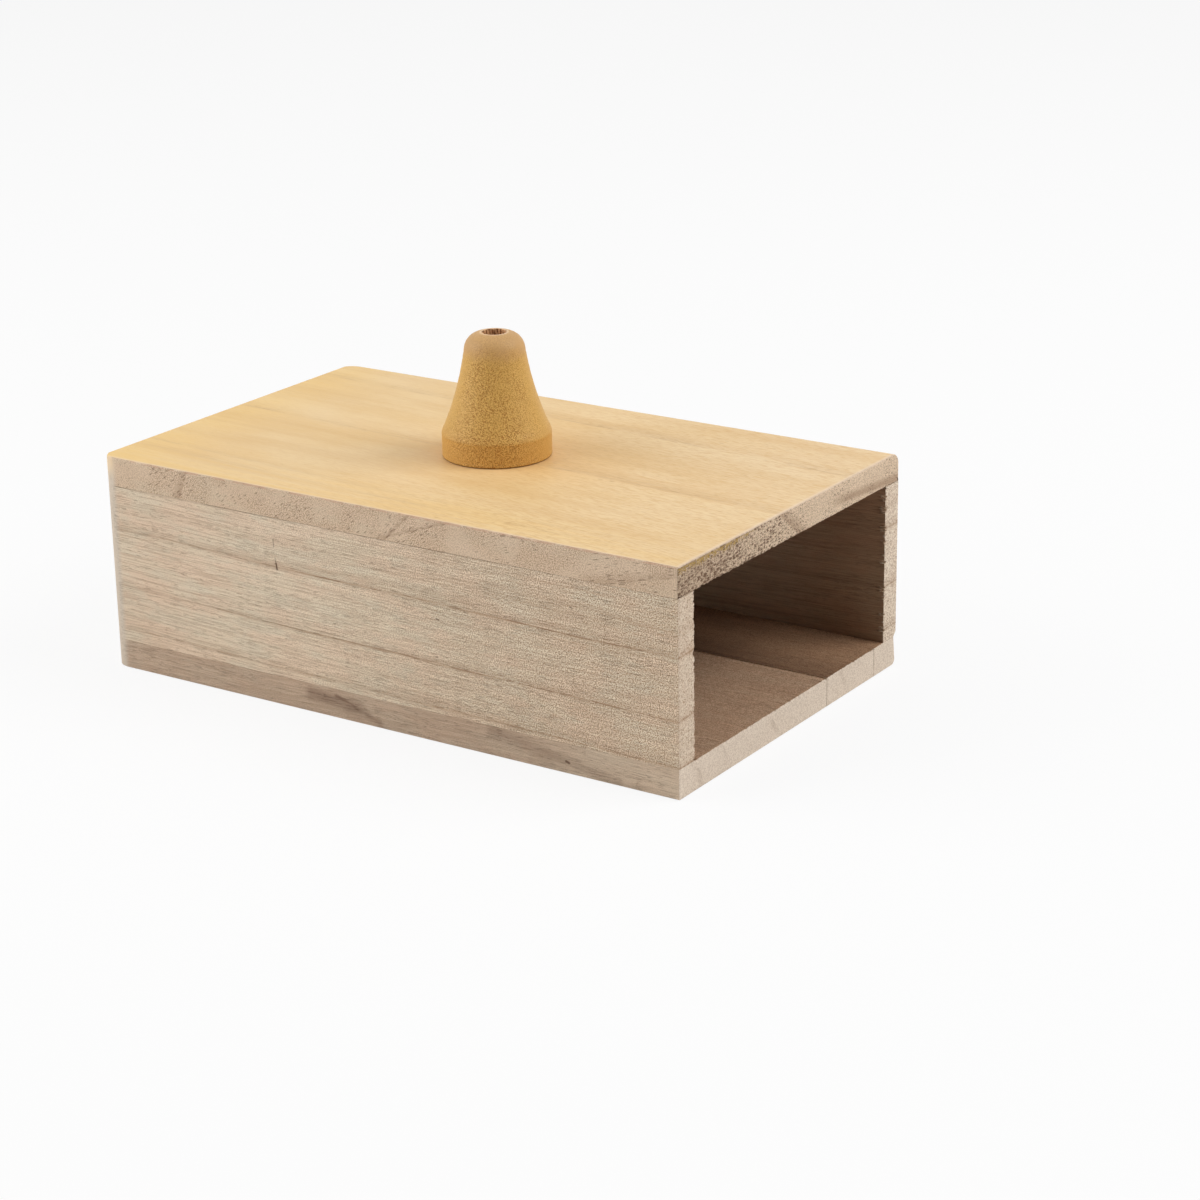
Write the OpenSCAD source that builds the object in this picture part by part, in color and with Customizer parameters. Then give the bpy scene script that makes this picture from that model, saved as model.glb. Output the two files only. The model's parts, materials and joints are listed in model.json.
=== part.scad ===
// Resonance box for a tuning fork: a glued box of thin boards, open at one end,
// with a turned peg on its top board that holds the stem of the fork.
// The box stands on z = 0, centred on the origin, and its open end faces +X.
// All sizes are in millimetres.

/* [Box] */
// Length of the box, from the closed end to the open end
box_length = 148; // [110:1:200]
// Width of the box, across its long walls
box_width = 90; // [70:1:130]
// Clear height of the sound chamber, between floor and top board
chamber_height = 35.6; // [22:0.1:60]

/* [Boards] */
// Thickness of the top board
top_thickness = 6.4; // [4.5:0.1:10]
// Thickness of the floor strips
floor_thickness = 6.5; // [4.5:0.1:10]
// Thickness of the two long walls
wall_thickness = 5.8; // [4.5:0.1:10]
// Thickness of the board that closes the far end
end_thickness = 5.8; // [4.5:0.1:10]

/* [Floor strips] */
// Width of the middle strip of the floor
middle_strip = 20.8; // [12:0.1:28]
// Width of the rear strip of the floor, at its upper face
rear_strip = 9; // [6:0.1:14]
// Width of the open groove along the upper edge of the front strip's seam
seam_groove = 0.5; // [0.1:0.1:1.5]

/* [Edges] */
// Radius of the upright corners at the closed end
corner_radius = 3.5; // [0.5:0.1:4.4]
// Radius of the rear edge of the top board
rear_radius = 2.5; // [0.5:0.1:4]
// Radius of the front edge of the top board
front_radius = 0.5; // [0.1:0.1:2]
// Chamfer along the lower edge of the rear wall
rear_chamfer = 1; // [0.2:0.1:2.5]
// How far the floor's upper edge stands in from the rear wall's face
joint_setback = 1; // [0.2:0.1:2.5]
// How far the sole stands in from the rear wall's face
sole_setback = 0.2; // [0:0.1:2]
// Radius of the sole's rear edge
sole_radius = 1.2; // [0.3:0.1:3]

/* [Peg] */
// Height of the peg above the top board
peg_height = 27.1; // [24:0.1:45]
// Diameter of the upright band at the foot of the peg
band_diameter = 23.8; // [20:0.1:34]
// Height of the upright band
band_height = 4.9; // [3:0.1:9]
// Radius of the shoulder above the band
shoulder_radius = 2.2; // [0.5:0.1:5]
// Radius of the hollow flank
flank_radius = 69; // [40:1:150]
// Radius of the domed crown
crown_radius = 3.8; // [3:0.1:5.5]
// Width of the flat rim round the socket's mouth
rim_width = 0.2; // [0.1:0.1:1.5]

/* [Fork socket] */
// Diameter of the socket for the fork's stem
socket_diameter = 5.2; // [4:0.1:8]
// Depth of the socket's straight wall
socket_depth = 20; // [10:0.5:22]
// Angle of the cone that the drill leaves at the bottom of the socket
drill_angle = 118; // [90:1:150]

/* [Tenon] */
// Diameter of the peg's tenon
tenon_diameter = 10; // [6:0.1:16]
// Clearance all round the tenon, for the glue
glue_gap = 0.05; // [0.02:0.01:0.3]
// How far the tenon stops short of the top board's underside
tenon_relief = 0.4; // [0:0.1:2]

/* [Hidden] */
$fn = 96;

half_length = box_length / 2;
half_width = box_width / 2;
wall_top = floor_thickness + chamber_height;
box_height = wall_top + top_thickness;

// The floor's seams, counted back from its rear edge
floor_rear = half_width - joint_setback;
rear_seam = floor_rear - rear_strip;
front_seam = rear_seam - middle_strip;

// The peg's outline is three arcs that run smoothly into each other
band_radius = band_diameter / 2;
socket_radius = socket_diameter / 2;
shoulder_centre = [band_radius - shoulder_radius, band_height];
crown_centre = [socket_radius + rim_width, peg_height - crown_radius];
shoulder_reach = flank_radius + shoulder_radius;
crown_reach = flank_radius + crown_radius;
centre_gap = norm(crown_centre - shoulder_centre);
gap_direction = (crown_centre - shoulder_centre) / centre_gap;
along_gap = (shoulder_reach ^ 2 - crown_reach ^ 2 + centre_gap ^ 2) / (2 * centre_gap);
beside_gap = sqrt(shoulder_reach ^ 2 - along_gap ^ 2);
flank_centre = shoulder_centre + along_gap * gap_direction
    + beside_gap * [gap_direction.y, -gap_direction.x];
flank_foot = shoulder_centre + (flank_centre - shoulder_centre) * shoulder_radius / shoulder_reach;
flank_neck = crown_centre + (flank_centre - crown_centre) * crown_radius / crown_reach;

tenon_length = top_thickness - tenon_relief;
mortise_diameter = tenon_diameter + 2 * glue_gap;
drill_tip = socket_radius / tan(drill_angle / 2);

// What a cut reaches past a face that it opens
past = 1;

stained = [0.87, 0.69, 0.42];
pale = [0.74, 0.65, 0.54];
brown = [0.66, 0.56, 0.46];
ochre = [0.72, 0.53, 0.26];

// The corner that a rounding of this radius takes off, with its tip at the origin
module corner_waste(radius) {
    difference() {
        translate([-radius, -radius])
            square(radius + past);
        translate([-radius, -radius])
            circle(radius);
    }
}

// Plan of the box: square at the open end, rounded at the closed end
module plan() {
    difference() {
        square([box_length, box_width], center = true);
        for (side = [0, 1])
            mirror([0, side])
                translate([-half_length, half_width])
                    mirror([1, 0])
                        corner_waste(corner_radius);
    }
}

// Runs an end view, drawn in y and z, along the whole box inside its plan
module along_box() {
    intersection() {
        rotate([90, 0, 90])
            linear_extrude(box_length, center = true)
                children();
        linear_extrude(box_height)
            plan();
    }
}

// End view of a plain board, from its front to its rear and from its underside to its upper face
module board_section(front, rear, under, upper) {
    translate([front, under])
        square([rear - front, upper - under]);
}

// Top board, drilled for the peg's tenon
module top_board() {
    color(stained)
        difference() {
            along_box()
                difference() {
                    board_section(-half_width, half_width, wall_top, box_height);
                    translate([half_width, box_height])
                        corner_waste(rear_radius);
                    translate([-half_width, box_height])
                        mirror([1, 0])
                            corner_waste(front_radius);
                }
            translate([0, 0, wall_top - past])
                cylinder(d = mortise_diameter, h = top_thickness + 2 * past);
        }
}

// Long wall at the front
module front_wall() {
    color(pale)
        along_box()
            board_section(-half_width, wall_thickness - half_width, floor_thickness, wall_top);
}

// Long wall at the back, chamfered where it meets the floor
module rear_wall() {
    color(pale)
        along_box()
            polygon([
                [half_width - wall_thickness, floor_thickness],
                [half_width - rear_chamfer, floor_thickness],
                [half_width, floor_thickness + rear_chamfer],
                [half_width, wall_top],
                [half_width - wall_thickness, wall_top]
            ]);
}

// Board that closes the far end, let in between the long walls
module end_wall() {
    color(pale)
        translate([-half_length, wall_thickness - half_width, floor_thickness])
            cube([end_thickness, box_width - 2 * wall_thickness, chamber_height]);
}

// Widest strip of the floor, grooved along its seam
module floor_front_strip() {
    color(brown)
        along_box()
            polygon([
                [-half_width, 0],
                [front_seam, 0],
                [front_seam, floor_thickness - seam_groove],
                [front_seam - seam_groove, floor_thickness],
                [-half_width, floor_thickness]
            ]);
}

// Middle strip of the floor
module floor_middle_strip() {
    color(brown)
        along_box()
            board_section(front_seam, rear_seam, 0, floor_thickness);
}

// Narrow strip at the floor's rear edge, which slopes out to a rounded sole
module floor_rear_strip() {
    sole_rear = half_width - sole_setback;
    color(brown)
        along_box()
            union() {
                polygon([
                    [rear_seam, 0],
                    [sole_rear - sole_radius, 0],
                    [sole_rear - sole_radius, sole_radius],
                    [sole_rear, sole_radius],
                    [floor_rear, floor_thickness],
                    [rear_seam, floor_thickness]
                ]);
                translate([sole_rear - sole_radius, sole_radius])
                    circle(sole_radius);
            }
}

// Half outline of the peg, from its foot to the rim of the socket
module peg_outline() {
    difference() {
        union() {
            polygon([
                [0, 0],
                [band_radius, 0],
                [band_radius, band_height],
                shoulder_centre,
                flank_foot,
                flank_neck,
                crown_centre,
                [crown_centre.x, peg_height],
                [0, peg_height]
            ]);
            translate(shoulder_centre)
                circle(shoulder_radius);
            intersection() {
                translate(crown_centre)
                    circle(crown_radius);
                translate(crown_centre - [0, crown_radius])
                    square(2 * crown_radius);
            }
        }
        translate(flank_centre)
            circle(flank_radius);
    }
}

// Turned peg with its tenon, bored for the stem of the fork
module fork_peg() {
    color(ochre)
        translate([0, 0, box_height])
            difference() {
                union() {
                    rotate_extrude()
                        peg_outline();
                    translate([0, 0, -tenon_length])
                        cylinder(d = tenon_diameter, h = tenon_length);
                }
                translate([0, 0, peg_height - socket_depth])
                    cylinder(d = socket_diameter, h = socket_depth + past);
                translate([0, 0, peg_height - socket_depth - drill_tip])
                    cylinder(d1 = 0, d2 = socket_diameter, h = drill_tip);
            }
}

top_board();
front_wall();
rear_wall();
end_wall();
floor_front_strip();
floor_middle_strip();
floor_rear_strip();
fork_peg();
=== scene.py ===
# Looks of a resonance box for a tuning fork: eight glued pieces of wood, dressed piece by piece.
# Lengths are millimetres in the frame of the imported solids, and become metres when a mesh is made.
import json
import math
from collections import namedtuple

import bmesh
import bpy
import numpy as np
from mathutils import Matrix, Vector


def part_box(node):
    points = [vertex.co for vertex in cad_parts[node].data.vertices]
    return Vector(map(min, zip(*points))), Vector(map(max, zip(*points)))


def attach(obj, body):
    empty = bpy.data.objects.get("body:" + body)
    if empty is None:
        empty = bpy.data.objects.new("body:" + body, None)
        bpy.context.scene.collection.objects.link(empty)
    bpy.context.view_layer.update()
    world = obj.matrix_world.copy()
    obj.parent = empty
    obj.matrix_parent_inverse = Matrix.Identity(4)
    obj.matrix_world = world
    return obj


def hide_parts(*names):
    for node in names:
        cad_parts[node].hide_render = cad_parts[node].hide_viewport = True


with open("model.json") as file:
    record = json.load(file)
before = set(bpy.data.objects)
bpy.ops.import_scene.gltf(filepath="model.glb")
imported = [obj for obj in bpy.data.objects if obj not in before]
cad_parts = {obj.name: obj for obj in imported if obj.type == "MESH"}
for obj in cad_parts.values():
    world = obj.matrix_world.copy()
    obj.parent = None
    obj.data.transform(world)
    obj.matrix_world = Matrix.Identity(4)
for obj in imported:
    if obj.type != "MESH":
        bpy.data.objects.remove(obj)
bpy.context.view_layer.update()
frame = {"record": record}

MM = 0.001


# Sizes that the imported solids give

def box_mm(node):
    """A node's lowest and highest corner, in millimetres."""
    low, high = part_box(node)
    return low / MM, high / MM


top_high = box_mm("top_board")[1]
wall_low, wall_high = box_mm("front_wall")
peg_low, peg_high = box_mm("fork_peg")
HALF_LENGTH = top_high.x
HALF_WIDTH = top_high.y
BOX_HEIGHT = top_high.z
WALL_TOP = wall_high.z
FLOOR_TOP = wall_low.z
INNER_WIDTH = -wall_high.y
END_INNER = box_mm("end_wall")[1].x
FRONT_SEAM = box_mm("floor_middle_strip")[0].y
REAR_SEAM = box_mm("floor_rear_strip")[0].y
BAND_RADIUS = peg_high.x
PEG_HEIGHT = peg_high.z - BOX_HEIGHT
TENON_LENGTH = BOX_HEIGHT - peg_low.z
socket = next(m for m in frame["record"]["mounts"] if m["name"] == "fork_socket")
SOCKET_RADIUS = socket["dims"]["r_mm"]
SOCKET_DEPTH = socket["dims"]["length_mm"]

# Edges of the boards
CORNER_RADIUS = 3.5
REAR_RADIUS = 2.5
FRONT_RADIUS = 0.5
REAR_CHAMFER = 1.0
JOINT_SETBACK = 1.0
SOLE_SETBACK = 0.2
SOLE_RADIUS = 1.2
SEAM_GROOVE = 0.5
ARRIS = 0.3
GLUED_EDGE = 0.03
TOP_EASE = 0.3
JOINT_EASE = 0.08

# Spacing of a section's points: along plain edges, beside corners, and along edges that the saw tore
PLAIN_STEP = 3.0
BESIDE_CORNER = 0.12
TORN_STEP = 0.25
ARC_STEPS = 4

# A normal that reaches this far along an axis faces that way
FACING = 0.9
# Width of the band round a board's flat end
CAP_MARGIN = 0.8
# Metres within which points merge
MERGE_DISTANCE = 1e-7
SHARP_ANGLE = math.radians(40)

# Torn edges at the open end: how far fuzz stands out, how far chips run in, and the random seed
Tear = namedtuple("Tear", "fuzz chips seed")
TOP_TEAR = Tear(0.22, 0.42, 11)
FRONT_TEAR = Tear(0.28, 0.3, 23)
REAR_TEAR = Tear(0.1, 0.75, 37)
FLOOR_FRONT_TEAR = Tear(0.1, 0.25, 41)
FLOOR_MIDDLE_TEAR = Tear(0.1, 0.25, 43)
FLOOR_REAR_TEAR = Tear(0.1, 0.25, 47)
FUZZ_FADE = 0.4
CHIP_FADE = 1.2
COARSE_POINTS = 7
SPLIT_LEVEL = 0.65
SPLIT_RANGE = 0.2
TORN_RINGS = 4

# Turned outline of the peg
BAND_HEIGHT = 4.9
SHOULDER_RADIUS = 2.2
FLANK_RADIUS = 69.0
CROWN_RADIUS = 3.8
RIM_WIDTH = 0.2
TENON_RADIUS = 5.0
GLUE_GAP = 0.05
DRILL_ANGLE = math.radians(118)
MORTISE_SEGMENTS = 96

# Points along each stretch of the peg's outline, and round it
ARRIS_POINTS = 4
BAND_POINTS = 12
SHOULDER_POINTS = 9
FLANK_POINTS = 40
CROWN_POINTS = 16
SOCKET_POINTS = 26
PEG_SEGMENTS = 180
# Radius of the small faces that close the peg on its axis
AXIS_RADIUS = 0.02

# The lathe's work on the peg: ridges, a slight oval, how far both stand in, and the socket's rough mouth
PEG_SEED = 53
RIDGES = 0.012
OVAL = 0.03
SKIN_INSET = 0.04
SKIN_START = 0.4
MOUTH_ROUGHNESS = 0.1
MOUTH_DEPTH = 3.0

# A section's corner, with the spacing of the points on the stretch that follows it
Corner = namedtuple("Corner", "u v radius step", defaults=(GLUED_EDGE, PLAIN_STEP))


def show(name, data):
    """Puts a new object in the scene."""
    made = bpy.data.objects.new(name, data)
    bpy.context.scene.collection.objects.link(made)
    return made


# Sections and sweeps

def unit(vector):
    return vector / np.linalg.norm(vector)


def round_corner(before, corner, after):
    """Points and outward normals of one rounded corner of a section that runs anticlockwise."""
    here = np.array(corner[:2])
    arriving = unit(here - np.array(before[:2]))
    leaving = unit(np.array(after[:2]) - here)
    first = math.atan2(-arriving[0], arriving[1])
    last = math.atan2(-leaving[0], leaving[1])
    turn = (last - first) % (2 * math.pi)
    start = here - arriving * corner.radius * math.tan(turn / 2)
    angles = first + turn * np.linspace(0, 1, ARC_STEPS * (1 + int(corner.radius)) + 1)
    normals = np.stack([np.cos(angles), np.sin(angles)], axis=1)
    centre = start - normals[0] * corner.radius
    return centre + normals * corner.radius, normals


def stretch_shares(length, step):
    """Shares of a straight stretch where it has points: evenly, and once beside each of its corners."""
    count = math.ceil(length / step)
    beside = min(BESIDE_CORNER / length, 0.2)
    return np.unique([beside, *(np.arange(1, count) / count), 1 - beside])


def outline(corners):
    """Points and outward normals round a convex section, with every corner rounded."""
    count = len(corners)
    arcs = [round_corner(corners[k - 1], corners[k], corners[(k + 1) % count]) for k in range(count)]
    points, normals = [], []
    for k, (arc, arc_normals) in enumerate(arcs):
        stretch_end = arcs[(k + 1) % count][0][0]
        shares = stretch_shares(np.linalg.norm(stretch_end - arc[-1]), corners[k].step)
        points.extend(arc)
        points.extend(arc[-1] + (stretch_end - arc[-1]) * share for share in shares)
        normals.extend(arc_normals)
        normals.extend(arc_normals[-1] for share in shares)
    return np.array(points), np.array(normals)


def graded_places(low, high, first=0.02, growth=1.5, step=3.0):
    """Places from low to high that crowd towards both ends."""
    near = [0.0]
    gap = first
    while near[-1] + gap < (high - low) / 2:
        near.append(near[-1] + gap)
        gap = min(gap * growth, step)
    return np.array([low + d for d in near] + [high - d for d in reversed(near)])


def sweep(corners, low, high, ease):
    """Rings of points along a board from low to high, with both ends slightly eased."""
    points, normals = outline(corners)
    places = graded_places(low, high)
    depth = np.minimum(np.minimum(places - low, high - places), ease)
    inset = ease - np.sqrt(ease ** 2 - (ease - depth) ** 2)
    grid = np.empty((len(places), len(points), 3))
    grid[:, :, 0] = places[:, None]
    grid[:, :, 1:] = points - normals * inset[:, None, None]
    return grid, normals


def end_ring(ring):
    """The ring inside a board's end, where its flat face begins."""
    inner = ring.copy()
    inner[:, 0] = np.median(ring[:, 0])
    for axis in (1, 2):
        low = ring[:, axis].min() + CAP_MARGIN
        high = ring[:, axis].max() - CAP_MARGIN
        inner[:, axis] = np.clip(ring[:, axis], low, high)
    return inner


def closed_mesh(name, grid, order=(0, 1, 2)):
    """A closed mesh from a board's rings. The order says which axis each column of the grid is."""
    rings = [end_ring(grid[0]), *grid, end_ring(grid[-1])]
    count = grid.shape[1]
    points = np.concatenate(rings)[:, order]
    mesh = bpy.data.meshes.new(name)
    shape = bmesh.new()
    vertices = [shape.verts.new(p) for p in points * MM]
    for ring in range(len(rings) - 1):
        flat = ring in (0, len(rings) - 2)
        for k in range(count):
            a = ring * count + k
            b = ring * count + (k + 1) % count
            face = shape.faces.new((vertices[a], vertices[b], vertices[b + count], vertices[a + count]))
            face.smooth = not flat
    shape.faces.new(reversed(vertices[:count])).smooth = False
    shape.faces.new(vertices[-count:]).smooth = False
    bmesh.ops.remove_doubles(shape, verts=shape.verts, dist=MERGE_DISTANCE)
    shape.to_mesh(mesh)
    shape.free()
    mesh.set_sharp_from_angle(angle=SHARP_ANGLE)
    return mesh


def round_closed_end(grid):
    """Draws the long sides in towards the closed end, where the upright corners are rounded."""
    along, across = grid[:, :, 0], grid[:, :, 1]
    past = np.clip(CORNER_RADIUS - HALF_LENGTH - along, 0, CORNER_RADIUS)
    drawn = CORNER_RADIUS - np.sqrt(CORNER_RADIUS ** 2 - past ** 2)
    outer = HALF_WIDTH - CORNER_RADIUS / 4
    share = np.clip((np.abs(across) - INNER_WIDTH) / (outer - INNER_WIDTH), 0, 1)
    grid[:, :, 1] = across - np.sign(across) * drawn * share


def smooth_random(count, width, rng):
    """Seeded random numbers from -1 to 1 round a closed line, smoothed over a width of points."""
    kernel = np.hanning(width + 2)[1:-1]
    padded = np.concatenate([rng.uniform(-1, 1, count)] * 3)
    smoothed = np.convolve(padded, kernel / np.linalg.norm(kernel), "same")[count:2 * count]
    return np.clip(smoothed, -1.5, 1.5)


def tear(grid, normals, torn, edge):
    """Breaks the sawn edge at the open end where torn is 1: fuzz stands out, and chips run inwards."""
    rng = np.random.default_rng(edge.seed)
    count = grid.shape[1]
    from_end = HALF_LENGTH - grid[:, :, 0]
    fine = smooth_random(count, 1, rng)
    coarse = smooth_random(count, COARSE_POINTS, rng)
    splits = np.clip((smooth_random(count, 1, rng) - SPLIT_LEVEL) / SPLIT_RANGE, 0, 1)
    lift = edge.fuzz * (0.8 * fine + 0.3 * coarse) * np.exp(-from_end / FUZZ_FADE)
    cut = edge.chips * splits * np.exp(-from_end / CHIP_FADE)
    moved = torn * (lift - cut)
    grid[:, :, 1:] += moved[:, :, None] * normals
    grid[-TORN_RINGS:, :, 0] -= torn * np.clip(splits, 0, 0.5) * edge.chips * 0.5


# Boards

def open_face(shape, side, rim):
    """Opens a board's flat upper or lower face round a rim, and fills the face up to it again."""
    reach = (TENON_RADIUS + GLUE_GAP + PLAIN_STEP) * MM
    for face in shape.faces:
        middle = face.calc_center_median()
        face.tag = face.normal.z * side > FACING and max(abs(middle.x), abs(middle.y)) < reach
    opened = [face for face in shape.faces if face.tag]
    border = [e for face in opened for e in face.edges if not all(f.tag for f in e.link_faces)]
    bmesh.ops.delete(shape, geom=opened, context="FACES")
    round_edges = [shape.edges.new((rim[k - 1], rim[k])) for k in range(len(rim))]
    bmesh.ops.triangle_fill(shape, use_beauty=True, edges=border + round_edges, normal=(0, 0, side))


def cut_mortise(mesh):
    """Bores the top board for the peg's tenon."""
    shape = bmesh.new()
    shape.from_mesh(mesh)
    bore = TENON_RADIUS + GLUE_GAP
    angles = np.linspace(0, 2 * math.pi, MORTISE_SEGMENTS, endpoint=False)
    circle = [(bore * math.cos(a), bore * math.sin(a)) for a in angles]
    upper = [shape.verts.new((x * MM, y * MM, BOX_HEIGHT * MM)) for x, y in circle]
    lower = [shape.verts.new((x * MM, y * MM, WALL_TOP * MM)) for x, y in circle]
    open_face(shape, 1, upper)
    open_face(shape, -1, lower)
    for k in range(MORTISE_SEGMENTS):
        shape.faces.new((upper[k - 1], upper[k], lower[k], lower[k - 1]))
    shape.to_mesh(mesh)
    shape.free()
    mesh.set_sharp_from_angle(angle=SHARP_ANGLE)


def long_board(name, corners, torn_edge, edge, ease=JOINT_EASE):
    """A board along the whole box, rounded at the closed end and torn by the saw at the open end."""
    grid, normals = sweep(corners, -HALF_LENGTH, HALF_LENGTH, ease)
    round_closed_end(grid)
    tear(grid, normals, torn_edge(grid[-1], normals), edge)
    return closed_mesh(name, grid)


def top_board_mesh():
    corners = [
        Corner(-HALF_WIDTH, WALL_TOP, step=TORN_STEP),
        Corner(HALF_WIDTH, WALL_TOP),
        Corner(HALF_WIDTH, BOX_HEIGHT, REAR_RADIUS),
        Corner(-HALF_WIDTH, BOX_HEIGHT, FRONT_RADIUS),
    ]

    def underside(ring, normals):
        """The upper edge of the chamber's mouth, which is torn most towards the front."""
        inside = np.abs(ring[:, 1]) < INNER_WIDTH
        nearer = np.clip(1 - (ring[:, 1] + 5) / 40, 0.35, 1)
        return inside * nearer * (normals[:, 1] < -FACING)

    board = long_board("stained_top", corners, underside, TOP_TEAR, TOP_EASE)
    cut_mortise(board)
    return board


def front_wall_mesh():
    corners = [
        Corner(-HALF_WIDTH, FLOOR_TOP),
        Corner(-INNER_WIDTH, FLOOR_TOP, step=TORN_STEP),
        Corner(-INNER_WIDTH, WALL_TOP),
        Corner(-HALF_WIDTH, WALL_TOP),
    ]
    return long_board("front_side", corners, lambda ring, normals: normals[:, 0] > FACING, FRONT_TEAR)


def rear_wall_mesh():
    corners = [
        Corner(INNER_WIDTH, FLOOR_TOP),
        Corner(HALF_WIDTH - REAR_CHAMFER, FLOOR_TOP),
        Corner(HALF_WIDTH, FLOOR_TOP + REAR_CHAMFER, ARRIS),
        Corner(HALF_WIDTH, WALL_TOP),
        Corner(INNER_WIDTH, WALL_TOP, step=TORN_STEP),
    ]
    return long_board("rear_side", corners, lambda ring, normals: normals[:, 0] < -FACING, REAR_TEAR)


def end_wall_mesh():
    """The closed end runs across the box, so its section lies in z and x."""
    corners = [
        Corner(FLOOR_TOP, -HALF_LENGTH),
        Corner(WALL_TOP, -HALF_LENGTH),
        Corner(WALL_TOP, END_INNER),
        Corner(FLOOR_TOP, END_INNER),
    ]
    grid = sweep(corners, -INNER_WIDTH, INNER_WIDTH, JOINT_EASE)[0]
    return closed_mesh("closed_end", grid, order=(2, 0, 1))


def upper_face(ring, normals):
    """The stretch of a floor strip's section that shows in the chamber."""
    return (normals[:, 1] > FACING) * (np.abs(ring[:, 1]) < INNER_WIDTH)


def floor_front_mesh():
    corners = [
        Corner(-HALF_WIDTH, 0, ARRIS),
        Corner(FRONT_SEAM, 0),
        Corner(FRONT_SEAM, FLOOR_TOP - SEAM_GROOVE),
        Corner(FRONT_SEAM - SEAM_GROOVE, FLOOR_TOP, step=TORN_STEP),
        Corner(-HALF_WIDTH, FLOOR_TOP),
    ]
    return long_board("floor_front", corners, upper_face, FLOOR_FRONT_TEAR)


def floor_middle_mesh():
    corners = [
        Corner(FRONT_SEAM, 0),
        Corner(REAR_SEAM, 0),
        Corner(REAR_SEAM, FLOOR_TOP, step=TORN_STEP),
        Corner(FRONT_SEAM, FLOOR_TOP),
    ]
    return long_board("floor_middle", corners, upper_face, FLOOR_MIDDLE_TEAR)


def floor_rear_mesh():
    corners = [
        Corner(REAR_SEAM, 0),
        Corner(HALF_WIDTH - SOLE_SETBACK, 0, SOLE_RADIUS),
        Corner(HALF_WIDTH - JOINT_SETBACK, FLOOR_TOP, step=TORN_STEP),
        Corner(REAR_SEAM, FLOOR_TOP),
    ]
    return long_board("floor_rear", corners, upper_face, FLOOR_REAR_TEAR)



# Peg

def arc_points(centre, radius, start, end, steps):
    angles = np.linspace(start, end, steps)
    return [(centre[0] + radius * math.cos(a), centre[1] + radius * math.sin(a)) for a in angles]


def peg_flank():
    """The centre of the hollow flank's circle, which touches the shoulder's and the crown's."""
    shoulder = np.array((BAND_RADIUS - SHOULDER_RADIUS, BAND_HEIGHT))
    crown = np.array((SOCKET_RADIUS + RIM_WIDTH, PEG_HEIGHT - CROWN_RADIUS))
    to_shoulder = FLANK_RADIUS + SHOULDER_RADIUS
    to_crown = FLANK_RADIUS + CROWN_RADIUS
    gap = np.linalg.norm(crown - shoulder)
    along = (to_shoulder ** 2 - to_crown ** 2 + gap ** 2) / (2 * gap)
    beside = math.sqrt(to_shoulder ** 2 - along ** 2)
    direction = (crown - shoulder) / gap
    centre = shoulder + along * direction + beside * np.array((direction[1], -direction[0]))
    return shoulder, crown, centre


def peg_profile():
    """The peg's half outline above the board: radius and height, from the foot to the socket's floor."""
    shoulder, crown, flank = peg_flank()
    shoulder_end = math.atan2(*(flank - shoulder)[::-1])
    crown_start = math.atan2(*(flank - crown)[::-1])
    flank_start = math.atan2(*(shoulder - flank)[::-1]) % (2 * math.pi)
    flank_end = math.atan2(*(crown - flank)[::-1]) % (2 * math.pi)
    tip = SOCKET_RADIUS / math.tan(DRILL_ANGLE / 2)
    profile = [(BAND_RADIUS - ARRIS, 0.0)]
    profile += arc_points((BAND_RADIUS - ARRIS, ARRIS), ARRIS, -math.pi / 2, 0, ARRIS_POINTS)[1:]
    profile += [(BAND_RADIUS, z) for z in np.linspace(ARRIS, BAND_HEIGHT, BAND_POINTS)[1:-1]]
    profile += arc_points(shoulder, SHOULDER_RADIUS, 0, shoulder_end, SHOULDER_POINTS)
    profile += arc_points(flank, FLANK_RADIUS, flank_start, flank_end, FLANK_POINTS)[1:-1]
    profile += arc_points(crown, CROWN_RADIUS, crown_start, math.pi / 2, CROWN_POINTS)
    profile += [(SOCKET_RADIUS + GLUED_EDGE, PEG_HEIGHT), (SOCKET_RADIUS, PEG_HEIGHT - GLUED_EDGE)]
    depths = np.linspace(0, 1, SOCKET_POINTS)[1:]
    profile += [(SOCKET_RADIUS, PEG_HEIGHT - SOCKET_DEPTH * d) for d in depths]
    profile += [(AXIS_RADIUS, PEG_HEIGHT - SOCKET_DEPTH - tip)]
    return np.array(profile)


def peg_rings():
    """The peg's points, ring by ring, with turning marks on its skin and a rough socket mouth."""
    rng = np.random.default_rng(PEG_SEED)
    tenon = [
        (AXIS_RADIUS, -TENON_LENGTH),
        (TENON_RADIUS - ARRIS, -TENON_LENGTH),
        (TENON_RADIUS, ARRIS - TENON_LENGTH),
        (TENON_RADIUS, -GLUE_GAP),
        (TENON_RADIUS, 0.0),
    ]
    profile = np.concatenate([tenon, peg_profile()])
    angles = np.linspace(0, 2 * math.pi, PEG_SEGMENTS, endpoint=False)
    radius = np.repeat(profile[:, :1], PEG_SEGMENTS, axis=1)
    height = np.repeat(profile[:, 1:], PEG_SEGMENTS, axis=1)
    skin = (profile[:, 1] > SKIN_START) & (profile[:, 0] > SOCKET_RADIUS + 2 * RIM_WIDTH)
    ridges = rng.normal(0, RIDGES, len(profile))
    oval = OVAL * np.sin(2 * angles + 0.7)
    radius += skin[:, None] * (ridges[:, None] + oval[None, :] - SKIN_INSET)
    mouth = np.abs(profile[:, 0] - SOCKET_RADIUS) < RIM_WIDTH
    mouth &= profile[:, 1] > PEG_HEIGHT - MOUTH_DEPTH
    radius += mouth[:, None] * MOUTH_ROUGHNESS * smooth_random(PEG_SEGMENTS, 3, rng)[None, :]
    return np.stack([radius * np.cos(angles), radius * np.sin(angles), height + BOX_HEIGHT], axis=2)


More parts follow.
